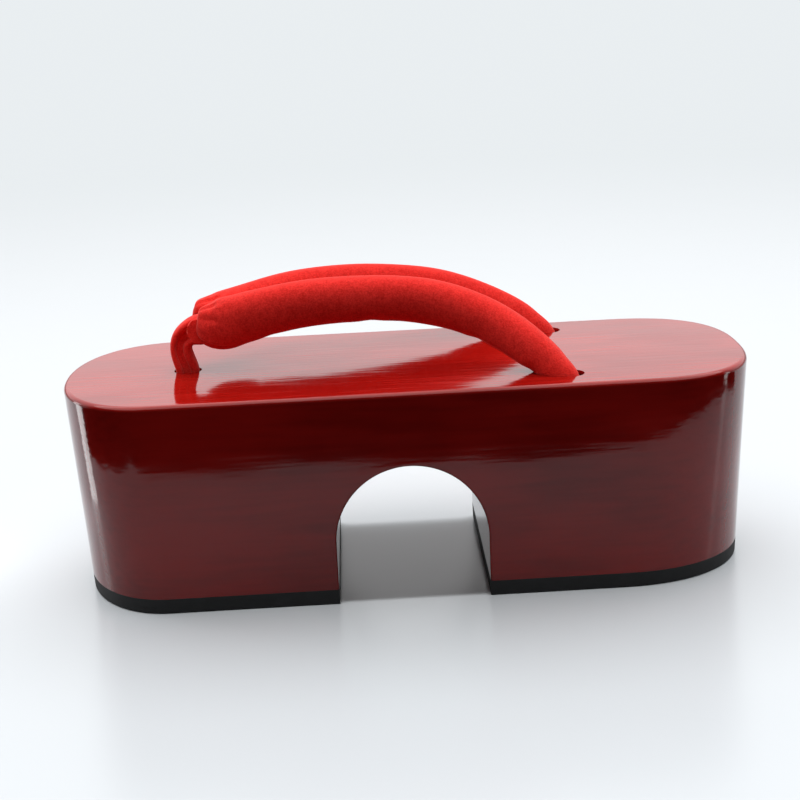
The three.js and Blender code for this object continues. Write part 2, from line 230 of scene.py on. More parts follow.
@dataclass(frozen=True)
class Lacquer:
    """Deep red brushed lacquer with a wet gloss over wood; the deck is coloured lighter as painted
    light and the walls darker as painted shade.
    """

    name: str = "red_lacquer_finish"
    # Painted shade: the wall colours are darker than the deck's because the walls face away from the
    # overhead light.
    deep: tuple[float, float, float] = (0.098, 0.0018, 0.0014)
    light: tuple[float, float, float] = (0.160, 0.0036, 0.0026)
    # Painted light: the deck colours are lighter than the walls' because the deck faces the overhead
    # light.
    lit_deck_deep: tuple[float, float, float] = (0.250, 0.0034, 0.0022)
    lit_deck_light: tuple[float, float, float] = (0.370, 0.0080, 0.0050)
    lit_deck_start_mm: float = 73.2
    lit_deck_full_mm: float = 74.9
    cloud_mm: float = 26.0
    cloud_stretch: tuple[float, float, float] = (0.45, 1.0, 1.0)
    cloud_share: float = 0.65
    tone_span: tuple[float, float] = (0.32, 0.68)
    roughness: float = 0.07
    streak_roughness: float = 0.05
    streak_span: tuple[float, float] = (0.45, 0.8)
    refraction: float = 1.41
    swell_mm: float = 24.0
    swell_stretch: tuple[float, float, float] = (0.8, 1.0, 1.0)
    swell_depth_mm: float = 0.16
    brush_mm: float = 2.2
    brush_stretch: tuple[float, float, float] = (0.08, 1.0, 1.0)
    brush_depth_mm: float = 0.030

    def material(self) -> bpy.types.Material:
        """Builds the material.

        Returns:
            The material.
        """
        material, graph = new_material(self.name)
        cloud = graph.noise(self.cloud_mm, 3.0, self.cloud_stretch)
        streak = graph.noise(self.brush_mm, 3.0, self.brush_stretch)
        tone = (self.cloud_share * cloud + (1 - self.cloud_share) * streak).step(*self.tone_span)
        roughness = self.roughness + self.streak_roughness * streak.step(*self.streak_span)
        swell = graph.noise(self.swell_mm, 1.0, self.swell_stretch)
        relief = swell + (self.brush_depth_mm / self.swell_depth_mm) * streak
        # Painted light and shade: the deck at the top gets the lighter, lit colours, and the walls
        # below get the darker, shaded ones.
        lit_deck_share = graph.height_mm().step(self.lit_deck_start_mm, self.lit_deck_full_mm)
        walls = graph.mix(tone, self.deep, self.light)
        deck = graph.mix(tone, self.lit_deck_deep, self.lit_deck_light)
        surface(graph, {
            "Base Color": graph.mix(lit_deck_share, walls, deck),
            "Roughness": roughness,
            "IOR": self.refraction,
            "Normal": graph.bump(relief, self.swell_depth_mm),
        })
        return material


@dataclass(frozen=True)
class NappedCloth:
    """Brushed red cloth with a short velvety nap."""

    name: str
    shade: tuple[float, float, float] = (0.66, 0.0130, 0.0090)
    lit: tuple[float, float, float] = (0.88, 0.034, 0.026)
    nap_mm: float = 0.55
    nap_depth_mm: float = 0.16
    nap_share: float = 0.55
    clump_mm: float = 1.9
    clump_share: float = 0.30
    clump_height: float = 0.7
    wear_mm: float = 14.0
    wear_share: float = 0.15
    tone_span: tuple[float, float] = (0.34, 0.64)
    roughness: float = 0.88
    nap_roughness: float = 0.10
    gloss: float = 0.18
    glow: float = 0.20
    glow_color: tuple[float, float, float] = (1.0, 0.16, 0.12)
    glow_mm: float = 5.0
    sheen: float = 0.36
    sheen_roughness: float = 0.40
    sheen_color: tuple[float, float, float] = (1.0, 0.40, 0.35)

    def material(self) -> bpy.types.Material:
        """Builds the material.

        Returns:
            The material.
        """
        material, graph = new_material(self.name)
        nap = graph.noise(self.nap_mm, 4.0)
        clump = graph.noise(self.clump_mm, 3.0)
        wear = graph.noise(self.wear_mm, 2.0)
        tone = self.nap_share * nap + self.clump_share * clump + self.wear_share * wear
        surface(graph, {
            "Base Color": graph.mix(tone.step(*self.tone_span), self.shade, self.lit),
            "Roughness": self.roughness + self.nap_roughness * nap,
            "Specular IOR Level": self.gloss,
            "Subsurface Weight": self.glow,
            "Subsurface Radius": self.glow_color,
            "Subsurface Scale": self.glow_mm * MM,
            "Sheen Weight": self.sheen,
            "Sheen Roughness": self.sheen_roughness,
            "Sheen Tint": self.sheen_color,
            "Normal": graph.bump(nap + self.clump_height * clump, self.nap_depth_mm),
        })
        return material


@dataclass(frozen=True)
class SoleRubber:
    """Matt black rubber sheet with a fine cast surface."""

    name: str = "sole_rubber_finish"
    dark: tuple[float, float, float] = (0.0045, 0.0048, 0.0055)
    worn: tuple[float, float, float] = (0.0120, 0.0125, 0.0135)
    grain_mm: float = 0.7
    grain_depth_mm: float = 0.05
    dust_mm: float = 9.0
    dust_span: tuple[float, float] = (0.45, 0.75)
    roughness: float = 0.62
    dust_roughness: float = 0.2
    gloss: float = 0.35

    def material(self) -> bpy.types.Material:
        """Builds the material.

        Returns:
            The material.
        """
        material, graph = new_material(self.name)
        grain = graph.noise(self.grain_mm, 3.0)
        dust = graph.noise(self.dust_mm, 4.0)
        surface(graph, {
            "Base Color": graph.mix(dust.step(*self.dust_span), self.dark, self.worn),
            "Roughness": self.roughness + self.dust_roughness * dust,
            "Specular IOR Level": self.gloss,
            "Normal": graph.bump(grain, self.grain_depth_mm),
        })
        return material


@dataclass(frozen=True)
class StudioFloor:
    """Pale, softly shining studio floor that runs up into an even backdrop."""

    name: str = "studio_floor_finish"
    color: tuple[float, float, float] = (0.585, 0.622, 0.655)
    backdrop: tuple[float, float, float] = (0.820, 0.858, 0.880)
    fade_span: tuple[float, float] = (0.28, 1.3)
    cloud_mm: float = 60.0
    roughness: float = 0.20
    cloud_roughness: float = 0.06
    gloss: float = 0.50

    def material(self) -> bpy.types.Material:
        """Builds the material.

        Returns:
            The material.
        """
        material, graph = new_material(self.name)
        near = graph.add("ShaderNodeBsdfPrincipled", None, {
            "Base Color": self.color,
            "Roughness": self.roughness + self.cloud_roughness * graph.noise(self.cloud_mm, 2.0),
            "Specular IOR Level": self.gloss,
        })
        far = graph.add("ShaderNodeEmission", None, {"Color": self.backdrop, "Strength": 1.0})
        reach = graph.value("ShaderNodeVectorMath", {"operation": "LENGTH"}, {0: graph.place()}, 1)
        sides = {0: reach.step(*self.fade_span), 1: near.outputs[0], 2: far.outputs[0]}
        both = graph.add("ShaderNodeMixShader", None, sides)
        graph.add("ShaderNodeOutputMaterial", None, {"Surface": both.outputs[0]})
        return material


@dataclass(frozen=True)
class BlackCard:
    """Matt black card, which may be clear from behind."""

    name: str = "black_card_finish"
    color: tuple[float, float, float] = (0.004, 0.004, 0.004)
    both_sides: bool = False

    def material(self) -> bpy.types.Material:
        """Builds the material.

        Returns:
            The material.
        """
        material, graph = new_material(self.name)
        card = graph.add("ShaderNodeBsdfDiffuse", None, {"Color": self.color})
        clear = graph.add("ShaderNodeBsdfTransparent")
        behind = 0.0 if self.both_sides else graph.add("ShaderNodeNewGeometry").outputs["Backfacing"]
        sides = {0: behind, 1: card.outputs[0], 2: clear.outputs[0]}
        both = graph.add("ShaderNodeMixShader", None, sides)
        graph.add("ShaderNodeOutputMaterial", None, {"Surface": both.outputs[0]})
        return material


# Shapes, in millimetres until they become meshes


def superellipse(turn: np.ndarray, power: float | np.ndarray) -> tuple[np.ndarray, np.ndarray]:
    """Points of a unit superellipse.

    Args:
        turn: Angles in radians.
        power: 2 for a circle, more for a squarer form.

    Returns:
        The horizontal and the vertical coordinates.
    """
    across, up = np.cos(turn), np.sin(turn)
    return (
        np.sign(across) * np.abs(across) ** (2 / power),
        np.sign(up) * np.abs(up) ** (2 / power),
    )


def smooth_rows(rows: np.ndarray, count: int) -> np.ndarray:
    """Runs a smooth spline through a table's rows, spaced by the square root of their distance.

    Args:
        rows: One row per station; the first three columns are its place.
        count: How many rows to return.

    Returns:
        The rows along the spline.
    """
    steps = np.sqrt(np.linalg.norm(np.diff(rows[:, :3], axis=0), axis=1))
    knots = np.concatenate([[0.0], np.cumsum(steps)])
    n = len(rows)
    system, bends = np.zeros((n, n)), np.zeros((n, rows.shape[1]))
    system[0, 0] = system[-1, -1] = 1.0
    slopes = np.diff(rows, axis=0) / steps[:, None]
    for i in range(1, n - 1):
        system[i, i - 1], system[i, i + 1] = steps[i - 1], steps[i]
        system[i, i] = 2 * (steps[i - 1] + steps[i])
        bends[i] = 6 * (slopes[i] - slopes[i - 1])
    bends = np.linalg.solve(system, bends)
    at = np.interp(np.linspace(0, n - 1, count), np.arange(n), knots)
    i = np.clip(np.searchsorted(knots, at, side="right") - 1, 0, n - 2)
    h, b = steps[i][:, None], ((at - knots[i]) / steps[i])[:, None]
    a = 1 - b
    curve = (a**3 - a) * bends[i] + (b**3 - b) * bends[i + 1]
    return a * rows[i] + b * rows[i + 1] + curve * h**2 / 6


def loft(rings: np.ndarray, capped: bool = True) -> tuple[np.ndarray, list[tuple[int, ...]]]:
    """Skins closed rings of equal length.

    Args:
        rings: Points as rings by points by 3.
        capped: Whether each end gets a flat face.

    Returns:
        The points and the faces.
    """
    count, sides = rings.shape[:2]
    faces: list[tuple[int, ...]] = []
    for r in range(count - 1):
        for i in range(sides):
            a, b = r * sides + i, r * sides + (i + 1) % sides
            faces.append((a, b, b + sides, a + sides))
    if capped:
        faces.append(tuple(range(sides))[::-1])
        faces.append(tuple(range((count - 1) * sides, count * sides)))
    return rings.reshape(-1, 3), faces


def make_object(name: str, points: np.ndarray, faces: list[tuple[int, ...]]) -> bpy.types.Object:
    """Makes a mesh object with its faces pointing out.

    Args:
        name: The object's name.
        points: Its points in millimetres.
        faces: Its faces.

    Returns:
        The object, in metres.
    """
    mesh = bpy.data.meshes.new(name)
    mesh.from_pydata((points * MM).tolist(), [], faces)
    mesh.validate()
    obj = bpy.data.objects.new(name, mesh)
    bpy.context.scene.collection.objects.link(obj)
    corners = np.array([v.co for v in mesh.vertices])
    mesh.calc_loop_triangles()
    tris = np.array([t.vertices for t in mesh.loop_triangles])
    a, b, c = (corners[tris[:, i]] for i in range(3))
    if np.einsum("ij,ij->", a, np.cross(b, c)) < 0:
        mesh.flip_normals()
    return obj


def rod(name: str, start: Vector, end: Vector, radius: float, sides: int = 64) -> bpy.types.Object:
    """A straight round rod.

    Args:
        name: The object's name.
        start: Centre of one end, in millimetres.
        end: Centre of the other end.
        radius: Its radius.
        sides: How many sides its section has.

    Returns:
        The rod.
    """
    turn = np.linspace(0, 2 * math.pi, sides, endpoint=False)
    axis = (end - start).normalized()
    side = axis.orthogonal().normalized()
    up = axis.cross(side)
    ring = radius * (np.outer(np.cos(turn), side) + np.outer(np.sin(turn), up))
    return make_object(name, *loft(np.array([ring + np.array(start), ring + np.array(end)])))


class Join(Enum):
    """What a boolean cut does with its tool."""

    CUT = "DIFFERENCE"
    ADD = "UNION"
    KEEP = "INTERSECT"


def combine(target: bpy.types.Object, tool: bpy.types.Object, how: Join) -> None:
    """Cuts or joins one mesh with another, and deletes the tool.

    Args:
        target: The mesh that changes.
        tool: The mesh it is cut or joined with.
        how: Which of these is done.
    """
    change = target.modifiers.new("combine", "BOOLEAN")
    change.operation = how.value
    change.solver = "EXACT"
    change.object = tool
    apply_modifiers(target)
    bpy.data.objects.remove(tool)


def apply_modifiers(obj: bpy.types.Object) -> None:
    """Turns an object's modifiers into mesh.

    Args:
        obj: The object.
    """
    depsgraph = bpy.context.evaluated_depsgraph_get()
    mesh = bpy.data.meshes.new_from_object(obj.evaluated_get(depsgraph))
    obj.modifiers.clear()
    obj.data = mesh


HARD_EDGE = 32.0
CORD_EDGE = 50.0
CLOTH_EDGE = 60.0


def shade(obj: bpy.types.Object, sharp_degrees: float = HARD_EDGE) -> None:
    """Shades a mesh smooth up to an angle, with large faces kept flat.

    Args:
        obj: The object.
        sharp_degrees: Edges bent more than this stay sharp.
    """
    obj.data.shade_smooth()
    obj.data.set_sharp_from_angle(angle=math.radians(sharp_degrees))
    weigh = obj.modifiers.new("weigh", "WEIGHTED_NORMAL")
    weigh.keep_sharp = True
    apply_modifiers(obj)


def finish_piece(
    obj: bpy.types.Object, material: bpy.types.Material, slot: str, *nodes: str
) -> bpy.types.Object:
    """Dresses a piece and ties it to the frame.

    Args:
        obj: The piece.
        material: Its finish.
        slot: Name of a material slot; not used.
        nodes: The solids that it stands for.

    Returns:
        The piece.
    """
    obj.data.materials.clear()
    obj.data.materials.append(material)
    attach(obj, "root")
    if nodes:
        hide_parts(*nodes)
    LOG.info("%s: %d faces", obj.name, len(obj.data.polygons))
    return obj


@dataclass(frozen=True)
class Hole:
    """A strap hole with the recess under it, on one axis that may slant."""

    x: float
    deck_y: float
    recess_y: float
    radius: float = 4.9
    recess_radius: float = 11.0
    recess_roof: float = 18.0

    def points(self, height: float) -> tuple[Vector, Vector, Vector]:
        """Where the axis meets the deck and the recess roof, and its way down.

        Args:
            height: The deck's height.

        Returns:
            The point on the deck, the point on the roof and the direction.
        """
        deck = Vector((self.x, self.deck_y, height))
        roof = Vector((self.x, self.recess_y, self.recess_roof))
        return deck, roof, (roof - deck).normalized()


TOE_HOLE = Hole(-76.9, 0.0, 0.0)
REAR_HOLES = (Hole(55.0, -33.4, -26.5), Hole(55.0, 33.4, 26.5))
ALL_HOLES = (TOE_HOLE, *REAR_HOLES)


@dataclass(frozen=True)
class RoundedEnd:
    """Plan curve of one end of the block, which changes evenly from the deck to the floor."""

    towards: int
    draft: float
    length: float
    length_change: float
    power: float
    power_change: float


TOE_END = RoundedEnd(1, 3.6, 33.6, -2.6, 2.15, -0.20)
HEEL_END = RoundedEnd(-1, 2.3, 40.5, 5.5, 2.55, -0.45)


@dataclass
class BlockForm:
    """The outer form that the wooden block and its pads share."""

    side_draft: float = 5.5
    forefoot_width: float = 97.0
    heel_width: float = 95.0
    edge_radius: float = 1.6
    pad_radius: float = 0.6
    arch_centre: float = -0.9
    arch_width: float = 52.0
    arch_crown: float = 49.0
    arch_rise: float = 27.0
    mouth_radius: float = 1.0
    end_steps: int = 56
    side_steps: int = 12
    wall_steps: int = 8
    edge_steps: int = 8
    pad_steps: int = 4
    arch_steps: int = 96
    length: float = field(init=False)
    height: float = field(init=False)
    pad_height: float = field(init=False)

    def __post_init__(self) -> None:
        """Takes the outer sizes from the frame."""
        low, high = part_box("wooden_block")
        self.length = (high.x - low.x) / MM
        self.height = high.z / MM
        self.pad_height = low.z / MM

    def drop(self, z: np.ndarray | float) -> np.ndarray:
        """Share of the way down from the widest line to the floor, at heights in mm."""
        widest = self.height - self.edge_radius
        return np.maximum(0.0, (widest - np.asarray(z, float)) / widest)

    def side_wall(self, x: np.ndarray, z: np.ndarray | float) -> np.ndarray:
        """Half width of the flat side wall.

        Args:
            x: Places along the block.
            z: Heights.

        Returns:
            The half widths.
        """
        along = np.asarray(x, float) / self.length + 0.5
        half = (self.forefoot_width + (self.heel_width - self.forefoot_width) * along) / 2
        return half - self.side_draft * self.drop(z)

    def outline(self, z: float, inset: float) -> np.ndarray:
        """Plan outline at a height.

        Args:
            z: The height.
            inset: How far it is drawn in all round.

        Returns:
            The points, all round.
        """
        toe = self._quarter(TOE_END, z, inset)
        heel = self._quarter(HEEL_END, z, inset)
        middle_x = np.linspace(toe[-1, 0], heel[-1, 0], self.side_steps + 1)[1:-1]
        middle = np.stack([middle_x, self.side_wall(middle_x, z) - inset], axis=1)
        half = np.concatenate([toe, middle, heel[::-1]])
        mirrored = half[1:-1][::-1] * [1, -1]
        plan = np.concatenate([half, mirrored])
        return np.column_stack([plan, np.full(len(plan), z)])

    def _quarter(self, end: RoundedEnd, z: float, inset: float) -> np.ndarray:
        """One rounded quarter of the outline, from its tip to the side wall.

        Args:
            end: Which end.
            z: The height.
            inset: How far it is drawn in.

        Returns:
            The points as x and y.
        """
        drop = float(self.drop(z))
        length = end.length + end.length_change * drop
        root = end.towards * (end.draft * drop + inset + length - self.length / 2)
        turn = np.linspace(0, math.pi / 2, self.end_steps + 1)
        along, across = superellipse(turn, end.power + end.power_change * drop)
        width = float(self.side_wall(root, z)) - inset
        return np.stack([root - end.towards * length * along, width * across], axis=1)

    def block_rings(self) -> np.ndarray:
        """Rings of the block from its underside to the deck."""
        widest = self.height - self.edge_radius
        walls = np.linspace(self.pad_height, widest, self.wall_steps + 1)[:-1]
        rings = [self.outline(z, 0.0) for z in walls]
        for turn in np.linspace(0, math.pi / 2, self.edge_steps + 1):
            z = self.height - self.edge_radius * (1 - math.sin(turn))
            rings.append(self.outline(z, self.edge_radius * (1 - math.cos(turn))))
        return np.array(rings)

    def pad_rings(self) -> np.ndarray:
        """Rings of a pad that runs under the whole block."""
        rings = []
        for turn in np.linspace(0, math.pi / 2, self.pad_steps + 1):
            inset = self.pad_radius * (1 - math.sin(turn))
            rings.append(self.outline(self.pad_radius * (1 - math.cos(turn)), inset))
        rings.append(self.outline(self.pad_height, 0.0))
        return np.array(rings)

    def arch_section(self, grow: float) -> tuple[np.ndarray, np.ndarray]:
        """Cross-section of the tunnel.

        Args:
            grow: How far it is grown all round.

        Returns:
            Its x and z coordinates, from the toe side to the heel side.
        """
        half = self.arch_width / 2 + grow
        turn = np.linspace(math.pi, 0, self.arch_steps + 1)
        x = self.arch_centre + half * np.cos(turn)
        z = self.arch_crown - self.arch_rise + (self.arch_rise + grow) * np.sin(turn)
        below = -1.0
        return (
            np.concatenate([[self.arch_centre - half], x, [self.arch_centre + half]]),
            np.concatenate([[below], z, [below]]),
        )

    def tunnel_rings(self) -> np.ndarray:
        """Rings of the tunnel from the near mouth to the far one, both rounded."""
        outside = 6.0
        x, z = self.arch_section(self.mouth_radius)
        far = [np.column_stack([x, self.side_wall(x, z) + outside, z])]
        for turn in np.linspace(0, math.pi / 2, self.edge_steps + 1):
            x, z = self.arch_section(self.mouth_radius * (1 - math.sin(turn)))
            depth = self.mouth_radius * (1 - math.cos(turn))
            far.append(np.column_stack([x, self.side_wall(x, z) - depth, z]))
        near = [ring * [1, -1, 1] for ring in far]
        return np.array(near + far[::-1])


def cut_holes(target: bpy.types.Object, height: float) -> None:
    """Cuts the three strap holes and their recesses.

    Args:
        target: The mesh that is cut.
        height: The deck's height in millimetres.
    """
    for hole in ALL_HOLES:
        deck, roof, down = hole.points(height)
        mouth = roof + down * (hole.recess_roof + hole.recess_radius)
        combine(target, rod("shaft", deck - down, roof + down, hole.radius), Join.CUT)
        combine(target, rod("recess", roof, mouth, hole.recess_radius), Join.CUT)


@dataclass
class WoodenBlock:
    """The one-piece lacquered wooden block."""

    form: BlockForm
    finish: Lacquer = Lacquer()

    def build(self) -> bpy.types.Object:
        """Builds the block with its tunnel, holes and finish.

        Returns:
            The block.
        """
        block = make_object("lacquered_block", *loft(self.form.block_rings()))
        combine(block, make_object("tunnel", *loft(self.form.tunnel_rings())), Join.CUT)
        cut_holes(block, self.form.height)
        shade(block)
        return finish_piece(block, self.finish.material(), "red_lacquer", "wooden_block")


@dataclass
class SolePads:
    """The two rubber pads, flush with the foot of the block."""

    form: BlockForm
    finish: SoleRubber = SoleRubber()

    def build(self) -> list[bpy.types.Object]:
        """Builds both pads.

        Returns:
            The front pad and the rear one.
        """
        material = self.finish.material()
        toe_end = self.form.arch_centre - self.form.arch_width / 2
        heel_end = self.form.arch_centre + self.form.arch_width / 2
        far = self.form.length
        spans = {"front_sole": (-far, toe_end), "rear_sole": (heel_end, far)}
        return [self._pad(node, *span, material) for node, span in spans.items()]

    def _pad(
        self, node: str, start: float, end: float, material: bpy.types.Material
    ) -> bpy.types.Object:
        """Builds one pad.

        Args:
            node: The solid it stands for.
            start: Where it begins along the block.
            end: Where it ends.
            material: Its finish.

        Returns:
            The pad.
        """
        pad = make_object(f"{node}_pad", *loft(self.form.pad_rings()))
        reach, top = self.form.length, self.form.pad_height + 1
        corners = [(x, y, z) for z in (-1, top) for y in (-reach, reach) for x in (start, end)]
        sides = [(0, 1, 3, 2), (4, 6, 7, 5), (0, 4, 5, 1), (2, 3, 7, 6), (0, 2, 6, 4), (1, 5, 7, 3)]
        combine(pad, make_object("window", np.array(corners, float), sides), Join.KEEP)
        cut_holes(pad, self.form.height)
        shade(pad)
        return finish_piece(pad, material, "sole_rubber", node)


@dataclass(frozen=True)
class Crease:
    """A soft trough between two low ridges, pressed into a tube of cloth."""

    along: float
    around: float
    length: float
    width: float
    depth: float
    slant: float = 0.0

    def relief(self, run: np.ndarray, turn: np.ndarray, radius: np.ndarray) -> np.ndarray:
        """How far the crease moves each point of a tube.

        Args:
            run: Length run at each ring, in millimetres.
            turn: Angle of each point of a ring.
            radius: Mean radius of each ring.

        Returns:
            The moves outwards, as rings by points.
        """
        ahead = (run - self.along)[:, None]
        swing = (turn - math.radians(self.around) + math.pi) % (2 * math.pi) - math.pi
        beside = swing[None, :] * radius[:, None]
        slant = math.radians(self.slant)
        down = ahead * math.cos(slant) + beside * math.sin(slant)
        off = (beside * math.cos(slant) - ahead * math.sin(slant)) / self.width
        return -self.depth * (1 - off**2) * np.exp(-(off**2)) * np.exp(-((down / self.length) ** 2))


@dataclass
class ClothTube:
    """A cloth tube of changing section along a table of stations."""

    stations: np.ndarray
    power: float
    steps: int
    sides: int
    creases: list[Crease] = field(default_factory=list)
    seam_depth: float = 0.0
    seam_width: float = 0.8
    stitch: float = 3.4
    stitch_pull: float = 0.35
    fullness: float = 0.0
    roll_mm: float = 5.3
    roll_turn: float = 0.7
    swell_mm: float = 8.1
    swell_start: float = 2.0

    def rings(self, grow: float = 0.0) -> np.ndarray:
        """Works out the tube's rings.

        Args:
            grow: How far the section is grown all round.

        Returns:
            The points, as rings by points by 3.
        """
        rows = smooth_rows(self.stations, self.steps + 1)
        centre, half_tall, half_thick = rows[:, :3], rows[:, 3] / 2 + grow, rows[:, 4] / 2 + grow
        tangent = np.gradient(centre, axis=0)
        tangent /= np.linalg.norm(tangent, axis=1)[:, None]
        across = np.array([0.0, 1.0, 0.0])
        side = across - tangent * (tangent @ across)[:, None]
        side /= np.linalg.norm(side, axis=1)[:, None]
        up = np.cross(side, tangent)
        lean = np.radians(rows[:, 5])[:, None]
        turned_side = side * np.cos(lean) - up * np.sin(lean)
        turned_up = up * np.cos(lean) + side * np.sin(lean)
        turn = np.linspace(0, 2 * math.pi, self.sides, endpoint=False)
        u, v = superellipse(turn, self.power)
        offset = (
            turned_side[:, None, :] * (half_thick[:, None] * u)[:, :, None]
            + turned_up[:, None, :] * (half_tall[:, None] * v)[:, :, None]
        )
        size = np.linalg.norm(offset, axis=2, keepdims=True)
        run = np.concatenate([[0], np.cumsum(np.linalg.norm(np.diff(centre, axis=0), axis=1))])
        relief = self.relief(run, turn, (half_tall + half_thick) / 2)
        return centre[:, None, :] + offset * (1 + relief[:, :, None] / np.maximum(size, 1.0))

    def relief(self, run: np.ndarray, turn: np.ndarray, radius: np.ndarray) -> np.ndarray:
        """Sums the creases, the sewn seam underneath and the uneven filling.

        Args:
            run: Length run at each ring.
            turn: Angle of each point of a ring.
            radius: Mean radius of each ring.

        Returns:
            The moves outwards, as rings by points.
        """
        total = np.zeros((len(run), len(turn)))
        for crease in self.creases:
            total += crease.relief(run, turn, radius)
        below = (turn - 0.5 * math.pi)[None, :] * radius[:, None] / self.seam_width
        pull = 1 + self.stitch_pull * np.cos(2 * math.pi * run / self.stitch)[:, None]
        total -= self.seam_depth * pull * np.exp(-(below**2))
        roll = np.sin(run / self.roll_mm)[:, None] * np.cos(turn + self.roll_turn)
        swell = np.sin(run / self.swell_mm + self.swell_start)[:, None]
        return total + self.fullness * (roll + swell)


def gathers(along: float, count: int, length: float, width: float, depth: float) -> list[Crease]:
    """Creases all round a place where the cloth is drawn together.

    Args:
        along: Where they are centred, in millimetres from the tube's start.
        count: How many there are.
        length: Their half length.
        width: Their half width.
        depth: Their depth.

    Returns:
        The creases.
    """
    beat, start = 2.4, 0.6
    shift, swing, lengthen, deepen, slant = 0.8, 0.2, 0.2, 0.3, 6.0
    creases = []
    for i in range(count):
        uneven = math.sin(beat * i + start)
        creases.append(Crease(
            along=along + shift * uneven,
            around=360 * (i + swing * uneven) / count,
            length=length * (1 + lengthen * uneven),
            width=width,
            depth=depth * (1 + deepen * uneven),
            slant=slant * uneven,
        ))
    return creases


def sweep(path: np.ndarray, radii: np.ndarray, sides: int, strands: int = 0) -> np.ndarray:
    """Rings of a round cord along a path.

    Args:
        path: The points of its axis.
        radii: Its radius at each point.
        sides: How many points a ring has.
        strands: How many twisted strands show, or 0 for a plain cord.

    Returns:
        The rings.
    """
    strand_depth, strand_turn = 0.09, 0.55
    tangent = np.gradient(path, axis=0)
    tangent /= np.linalg.norm(tangent, axis=1)[:, None]
    steep = abs(tangent[0][2]) >= 0.9
    guide = [1.0, 0.0, 0.0] if steep else [0.31, 0.17, 0.94]
    side = np.cross(tangent[0], guide)
    run = np.concatenate([[0], np.cumsum(np.linalg.norm(np.diff(path, axis=0), axis=1))])
    turn = np.linspace(0, 2 * math.pi, sides, endpoint=False)
    rings = []
    for point, way, radius, length in zip(path, tangent, radii, run):
        side = side - way * (side @ way)
        side = side / np.linalg.norm(side)
        up = np.cross(way, side)
        lobes = np.abs(np.sin(strands * (turn - strand_turn * length) / 2)) if strands else 1.0
        size = radius * (1 - strand_depth + strand_depth * lobes) * np.ones(sides)
        ring = np.outer(np.cos(turn), side) + np.outer(np.sin(turn), up)
        rings.append(point + size[:, None] * ring)
    return np.array(rings)


STRAP_TABLE: Table = [
    # x, near spread, near z, far spread, far z, tall, thick, lean
    (-72.0, 6.2, 93.4, 6.2, 93.4, 4.4, 3.2, 0),
    (-71.4, 6.2, 93.3, 6.2, 93.3, 8.6, 6.6, 0),
    (-69.8, 6.3, 93.1, 6.4, 93.1, 12.6, 9.8, 0),
    (-67.0, 6.4, 92.6, 7.3, 92.4, 15.8, 12.4, 2),
    (-62.5, 6.6, 92.6, 10.0, 91.9, 18.2, 13.9, 5),
    (-53.0, 8.5, 95.3, 17.6, 93.6, 17.6, 13.7, 10),
    (-42.0, 10.3, 97.9, 25.0, 95.1, 16.9, 13.4, 15),
    (-30.0, 11.4, 99.5, 30.5, 95.8, 16.5, 13.2, 18),
    (-16.0, 11.7, 100.1, 35.5, 95.5, 16.3, 13.2, 20),
    (-2.0, 11.6, 99.4, 38.0, 94.2, 16.2, 13.2, 20),
    (10.0, 12.5, 97.6, 38.6, 92.4, 16.2, 13.2, 20),
    (20.0, 15.0, 95.0, 38.3, 90.1, 15.4, 13.2, 20),
    (30.0, 19.4, 90.9, 37.4, 86.6, 14.7, 13.0, 20),
    (38.0, 24.4, 86.4, 36.3, 83.2, 13.9, 12.7, 18),
    (44.5, 28.4, 81.6, 35.2, 79.7, 12.9, 12.2, 14),
    (50.0, 31.3, 76.9, 34.2, 76.1, 11.0, 11.0, 8),
    (53.4, 32.9, 73.2, 33.4, 73.1, 9.4, 9.2, 0),
    (55.0, 33.1, 69.0, 33.1, 69.0, 8.6, 8.6, 0),
]

LOOP_TABLE: Table = [
    # x, z, thick, wide
    (-79.2, 70.0, 3.0, 5.8),
    (-79.5, 74.5, 2.8, 6.6),
    (-80.4, 78.0, 2.5, 7.4),
    (-81.2, 81.5, 2.3, 8.0),
    (-81.1, 85.0, 2.4, 8.3),
    (-79.9, 88.3, 2.6, 8.4),
    (-77.3, 91.1, 2.6, 8.4),
    (-74.2, 93.0, 2.6, 8.4),
    (-71.0, 93.7, 2.6, 8.4),
    (-68.4, 92.3, 2.6, 8.4),
    (-67.3, 89.8, 2.6, 8.4),
    (-68.3, 87.1, 2.6, 8.4),
    (-70.8, 85.8, 2.6, 8.4),
    (-73.7, 85.9, 2.7, 8.4),
    (-75.9, 84.8, 3.0, 8.2),
    (-76.4, 82.3, 3.2, 7.8),
    (-75.5, 79.0, 3.2, 7.2),
    (-74.4, 75.2, 3.0, 6.4),
    (-74.6, 70.0, 3.0, 5.8),
]

LOOP_FOLD: Table = [
    # x, z
    (-79.2, 70.0), (-79.5, 74.5), (-80.4, 78.0), (-81.2, 81.5), (-81.1, 85.0), (-79.9, 88.3),
    (-77.3, 91.1), (-74.4, 92.3), (-74.0, 87.0), (-75.9, 84.8), (-76.4, 82.3), (-75.5, 79.0),
    (-74.4, 75.2), (-74.6, 70.0),
]


STRAP_CREASES: Table = [
    # along, degrees around, half length, half width, depth, slant in degrees
    (17.0, 145, 7.0, 3.4, 0.50, 62),
    (24.0, 60, 6.0, 3.0, 0.45, 75),
    (62.0, 98, 9.0, 4.5, 0.35, 80),
    (104.0, 110, 8.0, 4.0, 0.40, 84),
    (128.0, 128, 7.0, 3.4, 0.45, 70),
    (134.0, -20, 8.0, 3.6, 0.30, 96),
]


class Side(Enum):
    """Which of the two straps; the value is the sign of Y."""

    NEAR = -1
    FAR = 1


